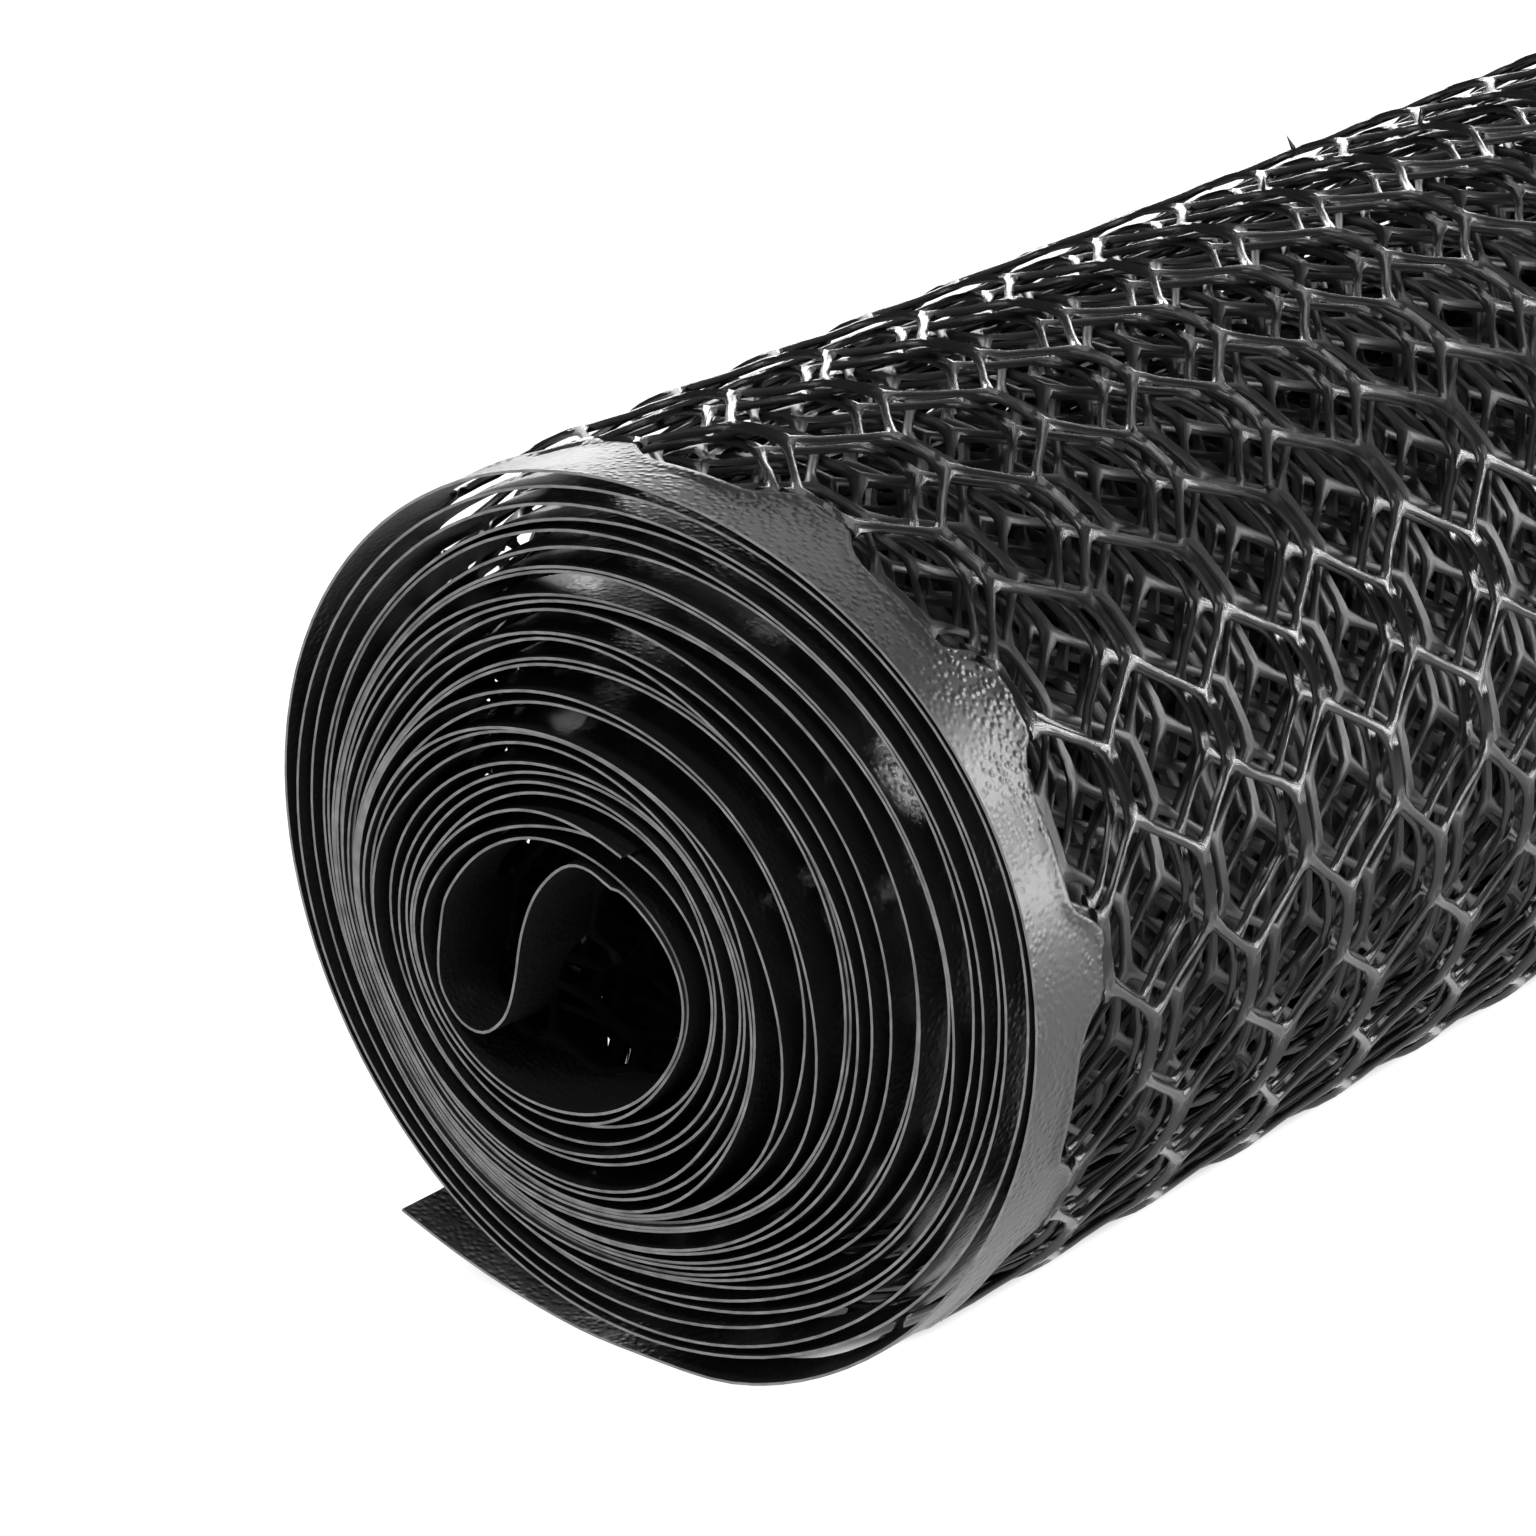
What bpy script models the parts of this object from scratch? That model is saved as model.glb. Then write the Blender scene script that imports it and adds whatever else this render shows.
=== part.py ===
"""A roll of black plastic mesh fencing, lying on its side with its outer end loose.

The net is wound into an open spiral round an S-shaped fold, with a smooth selvedge at each end
of the roll. The spiral here has fewer, thicker turns than the real winding, and the outer turn
and the loose end are cut through with the net's six-sided gaps.

The roll's axis is Y, its near end faces -Y, and it stands on the ground at z = 0.
"""

import math

import bmesh
import bpy
from mathutils import Vector

# Driving sizes, in metres
ROLL_RADIUS = 0.0485
ROLL_WIDTH = 0.500
FLAT_SPOT_DEPTH = 0.0008
SHEET = 0.0018
BUTT_GAP = 0.0003

# The winding: how many coarse turns there are, and the angles where it starts and ends.
# Angles are seen from the near end, clockwise from straight up.
FULL_TURNS = 5
START_ANGLE = math.radians(20)
END_ANGLE = math.radians(188)
STEP_SHARE = 0.10

# The open core, as shares of the roll's radius: its middle and its half width and half height
CORE_MIDDLE = Vector((-0.245, -0.165))
CORE_HALF_WIDTH = 0.355
CORE_HALF_HEIGHT = 0.310

# The fold in the core, from the inner end of the net to where the first turn begins,
# as shares of the roll's radius
CORE_FOLD = (
    # across, up
    (-0.405, 0.015),
    (-0.475, -0.055),
    (-0.520, -0.150),
    (-0.518, -0.250),
    (-0.478, -0.325),
    (-0.415, -0.325),
    (-0.372, -0.250),
    (-0.350, -0.150),
    (-0.318, -0.040),
    (-0.262, 0.050),
    (-0.200, 0.105),
)
FOLD_STEPS = 3

# The net, at not quite twice its real pitch: repeats round the roll and rows along it
COLUMNS = 6
ROWS = 27
FACETS_PER_COLUMN = 4
SELVEDGE = 0.0107
STRAND = 0.0022
FLAT_SIDE_SHARE = 0.26
SCALLOP_SHARE = 0.45
CUT_REACH_OUT = 0.0012
CUT_REACH_IN = 0.0002

# The loose end: where the outer turn leaves the roll, how it curves up, and its real-size net
LOOSE_LENGTH = 0.0275
LOOSE_SHEET = 0.0016
LOOSE_BEND_RADIUS = 0.100
LOOSE_START_SLOPE = math.radians(5)
LOOSE_STEPS = 5
LOOSE_ROWS = 27
LOOSE_GAP_HALF_LENGTH = 0.0100
LOOSE_GAP_HALF_SIDE = 0.0036
LOOSE_STRAND = 0.0020

BLACK_PLASTIC = (0.012, 0.012, 0.013, 1.0)
PLASTIC_ROUGHNESS = 0.32

CENTRE_HEIGHT = 1.0063 * ROLL_RADIUS - FLAT_SPOT_DEPTH
WINDING_TURNS = FULL_TURNS + (END_ANGLE - START_ANGLE) / math.tau
FACETS_PER_TURN = COLUMNS * FACETS_PER_COLUMN


def clear_scene():
    for old in list(bpy.data.objects):
        bpy.data.objects.remove(old, do_unlink=True)


def new_collection(name):
    collection = bpy.data.collections.new(name)
    bpy.context.scene.collection.children.link(collection)
    return collection


def black_plastic(name):
    material = bpy.data.materials.new(name)
    material.use_nodes = True
    shader = material.node_tree.nodes["Principled BSDF"]
    shader.inputs["Base Color"].default_value = BLACK_PLASTIC
    shader.inputs["Roughness"].default_value = PLASTIC_ROUGHNESS
    shader.inputs["Metallic"].default_value = 0.0
    material.diffuse_color = BLACK_PLASTIC
    return material


def outline_radius(angle):
    """The roll sags a little: flat on top, fuller at the upper left and the right."""
    two = -0.0094 * math.cos(2 * angle) - 0.0164 * math.sin(2 * angle)
    three = -0.0157 * math.cos(3 * angle) - 0.0033 * math.sin(3 * angle)
    return ROLL_RADIUS * (1 + two + three)


def direction(angle):
    return Vector((math.sin(angle), math.cos(angle)))


def winding_point(turn):
    """The middle of the sheet, this many turns out from where the winding starts."""
    angle = START_ANGLE + turn * math.tau
    before_last = WINDING_TURNS - 1
    if turn <= before_last:
        share = turn / WINDING_TURNS
    else:
        step = min((turn - before_last) / STEP_SHARE, 1.0)
        share = (before_last + step * step * (3 - 2 * step)) / WINDING_TURNS
    way = direction(angle)
    core = CORE_MIDDLE.copy()
    core.x += CORE_HALF_WIDTH * way.x
    core.y += CORE_HALF_HEIGHT * way.y
    core *= ROLL_RADIUS
    outside = way * (outline_radius(angle) - SHEET / 2)
    point = core.lerp(outside, share)
    point.y = max(point.y + CENTRE_HEIGHT, SHEET / 2)
    return point


def through_points(corners, steps):
    """A smooth Catmull-Rom line through the corners, without its last point."""
    line = []
    padded = [corners[0]] + corners + [corners[-1]]
    for before, start, end, after in zip(padded, padded[1:], padded[2:], padded[3:]):
        for step in range(steps):
            t = step / steps
            slope_in = (end - before) / 2
            slope_out = (after - start) / 2
            line.append(start * (2 * t**3 - 3 * t**2 + 1) + slope_in * (t**3 - 2 * t**2 + t)
                        + end * (3 * t**2 - 2 * t**3) + slope_out * (t**3 - t**2))
    return line


def winding_line():
    """The middle line of the whole sheet, from its inner end to where the loose end starts."""
    corners = [Vector(corner) * ROLL_RADIUS + Vector((0, CENTRE_HEIGHT)) for corner in CORE_FOLD]
    corners.append(winding_point(0.0))
    line = through_points(corners, FOLD_STEPS)
    count = round(WINDING_TURNS * FACETS_PER_TURN)
    line += [winding_point(WINDING_TURNS * step / count) for step in range(count + 1)]
    return line


def loose_line(end_point, end_way):
    """The loose end's middle line, which leaves the outer turn and curves up off the ground."""
    start = end_point + end_way * BUTT_GAP
    line = []
    for step in range(LOOSE_STEPS + 1):
        run = LOOSE_LENGTH * step / LOOSE_STEPS
        turned = run / LOOSE_BEND_RADIUS
        across = LOOSE_BEND_RADIUS * (math.sin(LOOSE_START_SLOPE + turned) - math.sin(LOOSE_START_SLOPE))
        up = LOOSE_BEND_RADIUS * (math.cos(LOOSE_START_SLOPE) - math.cos(LOOSE_START_SLOPE + turned))
        line.append(start + Vector((-across, up)))
    return line


def side_ways(line):
    """The way out of the sheet at each point of its middle line, square to the line."""
    ways = []
    for index in range(len(line)):
        before = line[max(index - 1, 0)]
        after = line[min(index + 1, len(line) - 1)]
        along = (after - before).normalized()
        ways.append(Vector((-along.y, along.x)))
    return ways


class Sheet:
    """A sheet of one thickness along a middle line, as wide as the roll."""

    def __init__(self, line, thickness):
        self.line = line
        self.ways = side_ways(line)
        self.thickness = thickness
        self.runs = [0.0]
        for start, end in zip(line, line[1:]):
            self.runs.append(self.runs[-1] + (end - start).length)

    def outline(self):
        half = self.thickness / 2
        outer = [point + way * half for point, way in zip(self.line, self.ways)]
        inner = [point - way * half for point, way in zip(self.line, self.ways)]
        return outer + inner[::-1]

    def place(self, run, along_axis, out):
        """World place of a point: its run along the line, its place on Y, and its height."""
        index = 0
        while index < len(self.runs) - 2 and self.runs[index + 1] < run:
            index += 1
        share = (run - self.runs[index]) / (self.runs[index + 1] - self.runs[index])
        point = self.line[index].lerp(self.line[index + 1], share)
        way = self.ways[index].lerp(self.ways[index + 1], share).normalized()
        flat = point + way * out
        return Vector((flat.x, along_axis, flat.y))


def extruded(name, outline, material, collection):
    """A solid with this outline across X and Z, as long as the roll along Y."""
    curve = bpy.data.curves.new(name, "CURVE")
    curve.dimensions = "2D"
    curve.fill_mode = "BOTH"
    curve.extrude = ROLL_WIDTH / 2
    spline = curve.splines.new("POLY")
    spline.points.add(len(outline) - 1)
    for point, corner in zip(spline.points, outline):
        point.co = (corner.x, corner.y, 0, 1)
    spline.use_cyclic_u = True
    drawn = bpy.data.objects.new(name + "_outline", curve)
    collection.objects.link(drawn)
    drawn.rotation_euler.x = math.radians(90)
    bpy.context.view_layer.update()

    mesh = bpy.data.meshes.new_from_object(drawn.evaluated_get(bpy.context.evaluated_depsgraph_get()))
    shape = bmesh.new()
    shape.from_mesh(mesh)
    bmesh.ops.remove_doubles(shape, verts=shape.verts, dist=0.00001)
    bmesh.ops.recalc_face_normals(shape, faces=shape.faces)
    shape.to_mesh(mesh)
    shape.free()
    mesh.name = name
    mesh.materials.clear()
    mesh.materials.append(material)
    solid = bpy.data.objects.new(name, mesh)
    solid.matrix_world = drawn.matrix_world
    collection.objects.link(solid)
    bpy.data.objects.remove(drawn, do_unlink=True)
    mesh.shade_smooth()
    mesh.set_sharp_from_angle(angle=math.radians(40))
    return solid


def add_gap(shape, sheet, run, axis_place, half_tip, half_side, half_height, low_height):
    """A six-sided cutter through the sheet, with its tips along the sheet's length."""
    made = bmesh.ops.create_cone(shape, cap_ends=True, segments=6, radius1=1, radius2=1, depth=2)
    caps = {face for vert in made["verts"] for face in vert.link_faces if len(face.verts) == 6}
    for cap in sorted(caps, key=lambda face: face.calc_center_median().z):
        sides = [vert for vert in cap.verts if abs(vert.co.y) < 0.9]
        for half in (1, -1):
            pair = [vert for vert in sides if vert.co.y * half > 0]
            bmesh.ops.connect_vert_pair(shape, verts=pair)
    for vert in made["verts"]:
        corner = vert.co.copy()
        is_tip = abs(corner.y) > 0.9
        along = math.copysign(half_tip if is_tip else half_side, corner.y)
        if is_tip:
            up = 0.0
        else:
            up = half_height if corner.x > 0 else -low_height
        half = sheet.thickness / 2
        out = half + CUT_REACH_OUT if corner.z > 0 else -half - CUT_REACH_IN
        vert.co = sheet.place(run + along, axis_place + up, out)


def gap_size(flat_side, slant_run, slant_rise, strand):
    """Half tip to tip, half flat side and half height of a gap between strands' edges."""
    slant = math.hypot(slant_run, slant_rise)
    half_height = slant_rise - strand / 2
    half_tip = flat_side / 2 + slant_run - strand / 2 * slant / slant_rise
    half_side = half_tip - half_height * slant_run / slant_rise
    return half_tip, half_side, half_height


def finish_cutter(name, shape, collection):
    mesh = bpy.data.meshes.new(name)
    bmesh.ops.recalc_face_normals(shape, faces=shape.faces)
    shape.to_mesh(mesh)
    shape.free()
    cutter = bpy.data.objects.new(name, mesh)
    cutter.hide_render = True
    cutter.display_type = "WIRE"
    collection.objects.link(cutter)
    return cutter


def roll_gaps(sheet, collection):
    """Cutters for the outer turn: staggered rows of gaps, and scallops next to each selvedge.

    The gaps' middles lie half a facet off the edges of the facets, which keeps the faces few.
    """
    shape = bmesh.new()
    end_run = sheet.runs[-1]
    start_run = sheet.runs[-1 - FACETS_PER_TURN]
    pitch = (end_run - start_run) / COLUMNS
    start_run += pitch / FACETS_PER_COLUMN / 2
    row_pitch = (ROLL_WIDTH - 2 * SELVEDGE) / ROWS
    flat_side = FLAT_SIDE_SHARE * pitch
    slant_run = pitch / 2 - flat_side
    half_tip, half_side, half_height = gap_size(flat_side, slant_run, row_pitch, STRAND)
    scallop = SCALLOP_SHARE * row_pitch
    for row in range(ROWS + 1):
        axis_place = -ROLL_WIDTH / 2 + SELVEDGE + row * row_pitch
        shift = 0.5 if row % 2 else 1.0
        up = scallop if row == ROWS else half_height
        down = scallop if row == 0 else half_height
        for column in range(COLUMNS):
            run = start_run + (column + shift) * pitch
            if run + half_tip < end_run:
                add_gap(shape, sheet, run, axis_place, half_tip, half_side, up, down)
    return finish_cutter("roll_gap_cutters", shape, collection)


def loose_gaps(sheet, collection):
    """Cutters for the loose end: one column of gaps at the net's real size."""
    shape = bmesh.new()
    pitch = (ROLL_WIDTH - 2 * SELVEDGE) / LOOSE_ROWS
    half_height = (pitch - LOOSE_STRAND) / 2
    for row in range(LOOSE_ROWS):
        axis_place = -ROLL_WIDTH / 2 + SELVEDGE + (row + 0.5) * pitch
        add_gap(shape, sheet, LOOSE_LENGTH / 2, axis_place, LOOSE_GAP_HALF_LENGTH,
                LOOSE_GAP_HALF_SIDE, half_height, half_height)
    return finish_cutter("loose_end_gap_cutters", shape, collection)


def cut(solid, cutter):
    boolean = solid.modifiers.new("net_gaps", "BOOLEAN")
    boolean.operation = "DIFFERENCE"
    boolean.solver = "EXACT"
    boolean.object = cutter


def build():
    clear_scene()
    parts = new_collection("mesh_fencing_roll")
    cutters = new_collection("cutters")

    winding = Sheet(winding_line(), SHEET)
    roll = extruded("mesh_roll", winding.outline(), black_plastic("mesh_roll_plastic"), parts)
    cut(roll, roll_gaps(winding, cutters))

    end_way = (winding.line[-1] - winding.line[-2]).normalized()
    loose = Sheet(loose_line(winding.line[-1], end_way), LOOSE_SHEET)
    flap = extruded("loose_end", loose.outline(), black_plastic("loose_end_plastic"), parts)
    cut(flap, loose_gaps(loose, cutters))


build()
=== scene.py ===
import math

import bpy
import numpy as np
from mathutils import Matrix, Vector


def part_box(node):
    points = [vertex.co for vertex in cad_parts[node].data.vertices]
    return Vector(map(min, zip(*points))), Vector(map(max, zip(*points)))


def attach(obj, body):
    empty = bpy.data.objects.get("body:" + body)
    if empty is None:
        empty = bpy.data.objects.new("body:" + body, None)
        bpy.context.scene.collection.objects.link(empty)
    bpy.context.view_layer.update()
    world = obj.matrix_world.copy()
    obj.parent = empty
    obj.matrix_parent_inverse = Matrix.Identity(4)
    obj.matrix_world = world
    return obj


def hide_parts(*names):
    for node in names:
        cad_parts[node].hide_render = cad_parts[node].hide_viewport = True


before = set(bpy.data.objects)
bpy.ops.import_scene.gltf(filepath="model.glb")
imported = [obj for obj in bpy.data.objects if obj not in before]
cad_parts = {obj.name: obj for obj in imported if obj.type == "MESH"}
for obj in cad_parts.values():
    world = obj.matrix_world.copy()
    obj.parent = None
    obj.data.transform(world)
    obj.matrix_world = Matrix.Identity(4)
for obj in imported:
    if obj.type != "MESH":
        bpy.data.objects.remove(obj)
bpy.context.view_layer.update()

# The studio: a plain white floor that glows, as a light table does, with softboxes behind the
# roll, along its right side, above it and in front of it. Under the roll the floor has a painted
# shadow, so that the gaps at the bottom are dark. The camera stands as the photo's did.
CAMERA_PLACE = (0.38077, -0.70293, 0.30398)
CAMERA_TILT = math.radians(68.037)
CAMERA_TURN = math.radians(38.856)
CAMERA_LENS = 151.197
CAMERA_SENSOR = 36.0
CAMERA_SEES_FROM = 0.01
FLOOR_SIZE = 12.0
FLOOR_WHITE = 0.35
FLOOR_GLOW = 1.0
FLOOR_ROUGHNESS = 0.9
SHADOW_GLOW = 0.06
SHADOW_WHITE = 0.15
SHADOW_WIDENS_FROM = -0.245
SHADOW_WIDENS_TO = -0.225
SHADOW_WIDENS_BY = 0.0055
AIR_LIGHT = 0.12

STUDIO_LIGHTS = (
    # name, place, what it faces, width, height, watts
    ("back_strip", (-0.95, 1.15, 0.34), (0.0, -0.1, 0.05), 1.4, 0.24, 12.5),
    ("back_upper_box", (-0.25, 0.90, 1.00), (0.0, -0.2, 0.08), 0.8, 0.30, 2.4),
    ("right_strip", (0.62, 0.42, 0.12), (0.0, 0.42, 0.05), 0.9, 0.12, 8.0),
    ("right_upper_strip", (0.64, 0.62, 0.52), (0.0, -0.2, 0.08), 0.6, 0.10, 9.0),
    ("top_box", (0.0, 0.2, 1.8), (0.0, 0.0, 0.0), 1.6, 1.2, 2.5),
    ("front_top_box", (0.05, -0.85, 1.5), (0.0, 0.0, 0.05), 0.9, 0.30, 8.0),
    ("front_fill", (0.1, -2.1, 0.9), (0.0, -0.25, 0.05), 2.0, 1.4, 4.5),
    ("front_glint", (0.25, -1.6, 0.80), (0.0, -0.25, 0.05), 0.25, 0.25, 1.0),
)

bpy.ops.object.select_all(action="DESELECT")
bpy.ops.mesh.primitive_plane_add(size=FLOOR_SIZE, location=(0, 0, 0))
floor = bpy.context.object
floor.name = "studio_floor"
floor_paint = bpy.data.materials.new("floor_white")
floor_paint.use_nodes = True
floor_shader = floor_paint.node_tree.nodes["Principled BSDF"]
floor_shader.inputs["Base Color"].default_value = (FLOOR_WHITE, FLOOR_WHITE, FLOOR_WHITE, 1)
floor_shader.inputs["Roughness"].default_value = FLOOR_ROUGHNESS
floor_shader.inputs["Specular IOR Level"].default_value = 0.0
floor_shader.inputs["Emission Color"].default_value = (1, 1, 1, 1)
floor_shader.inputs["Emission Strength"].default_value = FLOOR_GLOW

# The floor under the roll has a painted shadow, which is narrower right at the near end
floor_nodes, floor_links = floor_paint.node_tree.nodes, floor_paint.node_tree.links
floor_place = floor_nodes.new("ShaderNodeTexCoord")
floor_axes = floor_nodes.new("ShaderNodeSeparateXYZ")
floor_links.new(floor_place.outputs["Object"], floor_axes.inputs[0])
end_shift = floor_nodes.new("ShaderNodeMapRange")
end_shift.interpolation_type = "SMOOTHSTEP"
end_shift.inputs["From Min"].default_value = SHADOW_WIDENS_FROM
end_shift.inputs["From Max"].default_value = SHADOW_WIDENS_TO
end_shift.inputs["To Min"].default_value = 0.0
end_shift.inputs["To Max"].default_value = -SHADOW_WIDENS_BY
right_side = floor_nodes.new("ShaderNodeMath")
floor_links.new(floor_axes.outputs["Y"], end_shift.inputs["Value"])
floor_links.new(floor_axes.outputs["X"], right_side.inputs[0])
floor_links.new(end_shift.outputs["Result"], right_side.inputs[1])
SHADOW_EDGES = (
    # what is measured, where the edge lies, how wide it fades
    (floor_axes.outputs["X"], -0.034, 0.020),
    (right_side.outputs[0], 0.015, -0.005),
    (floor_axes.outputs["Y"], -0.249, 0.006),
    (floor_axes.outputs["Y"], 0.250, -0.006),
)
in_shadow = None
for measured, edge, edge_width in SHADOW_EDGES:
    fade = floor_nodes.new("ShaderNodeMapRange")
    fade.interpolation_type = "SMOOTHSTEP"
    fade.inputs["From Min"].default_value = min(edge, edge + edge_width)
    fade.inputs["From Max"].default_value = max(edge, edge + edge_width)
    fade.inputs["To Min"].default_value = 0.0 if edge_width > 0 else 1.0
    fade.inputs["To Max"].default_value = 1.0 if edge_width > 0 else 0.0
    floor_links.new(measured, fade.inputs["Value"])
    if in_shadow is None:
        in_shadow = fade.outputs["Result"]
    else:
        both = floor_nodes.new("ShaderNodeMath")
        both.operation = "MULTIPLY"
        floor_links.new(in_shadow, both.inputs[0])
        floor_links.new(fade.outputs["Result"], both.inputs[1])
        in_shadow = both.outputs[0]
# The painted shadow lowers the floor's glow and its white colour
lit_share = floor_nodes.new("ShaderNodeMapRange")
lit_share.inputs["To Min"].default_value = FLOOR_GLOW
lit_share.inputs["To Max"].default_value = SHADOW_GLOW
floor_links.new(in_shadow, lit_share.inputs["Value"])
floor_links.new(lit_share.outputs["Result"], floor_shader.inputs["Emission Strength"])
floor_white = floor_nodes.new("ShaderNodeMapRange")
floor_white.inputs["To Min"].default_value = FLOOR_WHITE
floor_white.inputs["To Max"].default_value = SHADOW_WHITE
floor_links.new(in_shadow, floor_white.inputs["Value"])
floor_links.new(floor_white.outputs["Result"], floor_shader.inputs["Base Color"])
floor.data.materials.append(floor_paint)

for light_name, place, aim, width, height, watts in STUDIO_LIGHTS:
    bpy.ops.object.light_add(type="AREA", location=place)
    lamp = bpy.context.object
    lamp.name = light_name
    lamp.data.shape = "RECTANGLE"
    lamp.data.size = width
    lamp.data.size_y = height
    lamp.data.energy = watts
    way_to_roll = lamp.location.copy()
    for axis in range(3):
        way_to_roll[axis] = aim[axis] - place[axis]
    lamp.rotation_euler = way_to_roll.to_track_quat("-Z", "Y").to_euler()

sky = bpy.data.worlds.new("studio_air")
sky.use_nodes = True
sky.node_tree.nodes["Background"].inputs["Color"].default_value = (1, 1, 1, 1)
sky.node_tree.nodes["Background"].inputs["Strength"].default_value = AIR_LIGHT
bpy.context.scene.world = sky
bpy.context.scene.view_settings.view_transform = "Standard"

bpy.ops.object.camera_add(location=CAMERA_PLACE, rotation=(CAMERA_TILT, 0, CAMERA_TURN))
camera = bpy.context.object
camera.name = "photo_camera"
camera.data.lens = CAMERA_LENS
camera.data.sensor_width = CAMERA_SENSOR
camera.data.clip_start = CAMERA_SEES_FROM
bpy.context.scene.camera = camera

# The winding: one long sheet of black plastic net. Its inner end is folded into an S, and the
# sheet is then wound round that fold about 25 times, loosely on the right and tight on the left.
# Angles are seen from the near end, clockwise from straight up, and a place across the winding
# is a share of the way from the open core to the roll's outline.
ROLL_RADIUS = 0.0485
HALF_STRAND = 0.00046
BAND_SHEET = 0.00030
CLOSEST_PITCH = 0.000335
FIRST_ANGLE = 20.0
LAST_ANGLE = 188.0
FULL_TURNS = 25
STEPS_PER_TURN = 96
KINKS_SOFTENED = 2
LAST_TURN_SETTLES_IN = 0.5
FLAT_SPOT_DEPTH = 0.0008
CENTRE_HEIGHT = 1.0063 * ROLL_RADIUS - FLAT_SPOT_DEPTH
TWO_SIDED_SAG = (-0.0094, -0.0164)
THREE_SIDED_SAG = (-0.0157, -0.0033)

CORE_MIDDLE = np.array((-0.245, -0.165))
CORE_HALF_SIZE = np.array((0.355, 0.310))

# One row for each turn, in thousandths of the way out, at angles 45 degrees apart
FIRST_COLUMN_ANGLE = 79.5
COLUMNS_PER_TURN = 8
TURN_PLACES = (
    # right, lower right, bottom, lower left, left, upper left, top, upper right
    (-2, -14, 3, 42, 43, 3, 16, 71),
    (80, 68, 50, 86, 125, 67, 111, 130),
    (88, 83, 122, 163, 165, 117, 140, 141),
    (119, 138, 159, 236, 225, 160, 164, 178),
    (164, 168, 193, 262, 293, 212, 189, 186),
    (172, 196, 298, 370, 395, 272, 245, 194),
    (180, 236, 327, 410, 430, 324, 271, 236),
    (198, 248, 376, 443, 463, 351, 280, 245),
    (255, 345, 388, 462, 481, 361, 365, 366),
    (349, 363, 400, 481, 499, 412, 392, 375),
    (368, 427, 412, 500, 517, 423, 472, 489),
    (471, 464, 424, 519, 535, 434, 488, 497),
    (479, 474, 436, 538, 553, 458, 545, 505),
    (504, 519, 506, 557, 571, 517, 559, 556),
    (547, 551, 518, 576, 589, 528, 628, 608),
    (594, 593, 554, 595, 607, 577, 650, 688),
    (680, 642, 566, 614, 625, 620, 663, 696),
    (692, 663, 593, 633, 643, 644, 730, 752),
    (764, 710, 605, 652, 661, 655, 743, 760),
    (772, 773, 617, 671, 679, 666, 800, 856),
    (838, 787, 683, 690, 697, 750, 843, 864),
    (865, 839, 716, 710, 730, 761, 874, 920),
    (910, 857, 780, 777, 835, 854, 913, 932),
    (928, 902, 862, 865, 915, 913, 958, 980),
    (985, 957, 897, 945, 992, 995, 997, 998),
    (1000, 1000, 1000, 1000, 1000, 1000, 1000, 1000),
)
HOOK_PLACE = -26
HOOK_ANGLE = 34.5

# The folded-back inner end lies between the first two turns, from the fold to its cut end
TAIL_FIRST_ANGLE = -55.5
TAIL_LAST_ANGLE = 389.0
TAIL_PLACES = (-56, -24, -18, 4, -4, 41, 84, 108, 54, 63, 79)
TAIL_PLACE_ANGLES = (-55.5, -10.5, 34.5, 79.5, 124.5, 169.5, 214.5, 259.5, 304.5, 349.5, 389.0)

# The fold between the tail and the first turn, as shares of the roll's radius
FOLD = (
    # across, up
    (-0.584, -0.194),
    (-0.579, -0.258),
    (-0.537, -0.336),
    (-0.486, -0.364),
    (-0.434, -0.354),
    (-0.384, -0.300),
    (-0.357, -0.213),
    (-0.337, -0.106),
    (-0.300, -0.010),
    (-0.245, 0.060),
    (-0.193, 0.094),
    (-0.140, 0.094),
    (-0.085, 0.070),
)
FOLD_STEPS = 6

# The net's rows even out away from the ends, where nothing holds the turns apart
EVEN_FROM_TURN = 3.0
EVEN_BY_TURN = 7.0
EVEN_START_PLACE = 0.235
EVEN_START_TURN = 6.0

# The outer turns lie closer together at the bottom, under the roll's weight, and at the upper left
PRESSED_PLACES = (
    # angle, half of how far it reaches, share of the space that is lost
    (150.0, 85.0, 0.42),
    (-42.0, 60.0, 0.38),
)

# The loose end leaves the last turn near the ground and curves up a little
LOOSE_LENGTH = 0.0278
LOOSE_BEND_RADIUS = 0.100
LOOSE_START_SLOPE = math.radians(5)
LOOSE_STEPS = 16


def outline_shape(angles):
    """The roll sags a little: flat on top, fuller at the upper left and the right."""
    two = TWO_SIDED_SAG[0] * np.cos(2 * angles) + TWO_SIDED_SAG[1] * np.sin(2 * angles)
    three = THREE_SIDED_SAG[0] * np.cos(3 * angles) + THREE_SIDED_SAG[1] * np.sin(3 * angles)
    return ROLL_RADIUS * (1 + two + three)


def winding_points(degrees, shares):
    """Points (across, up) at these angles, each a share of the way from the core outwards."""
    angles = np.radians(degrees)
    ways = np.stack((np.sin(angles), np.cos(angles)), axis=1)
    inside = (CORE_MIDDLE + CORE_HALF_SIZE * ways) * ROLL_RADIUS
    outside = ways * (outline_shape(angles) - HALF_STRAND)[:, None]
    points = inside + (outside - inside) * shares[:, None]
    points[:, 1] = np.maximum(points[:, 1] + CENTRE_HEIGHT, HALF_STRAND)
    return points


def winding_depths(degrees):
    """The length from the core to the outline at these angles."""
    angles = np.radians(degrees)
    ways = np.stack((np.sin(angles), np.cos(angles)), axis=1)
    inside = (CORE_MIDDLE + CORE_HALF_SIZE * ways) * ROLL_RADIUS
    outside = ways * outline_shape(angles)[:, None]
    return np.linalg.norm(outside - inside, axis=1)


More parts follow.
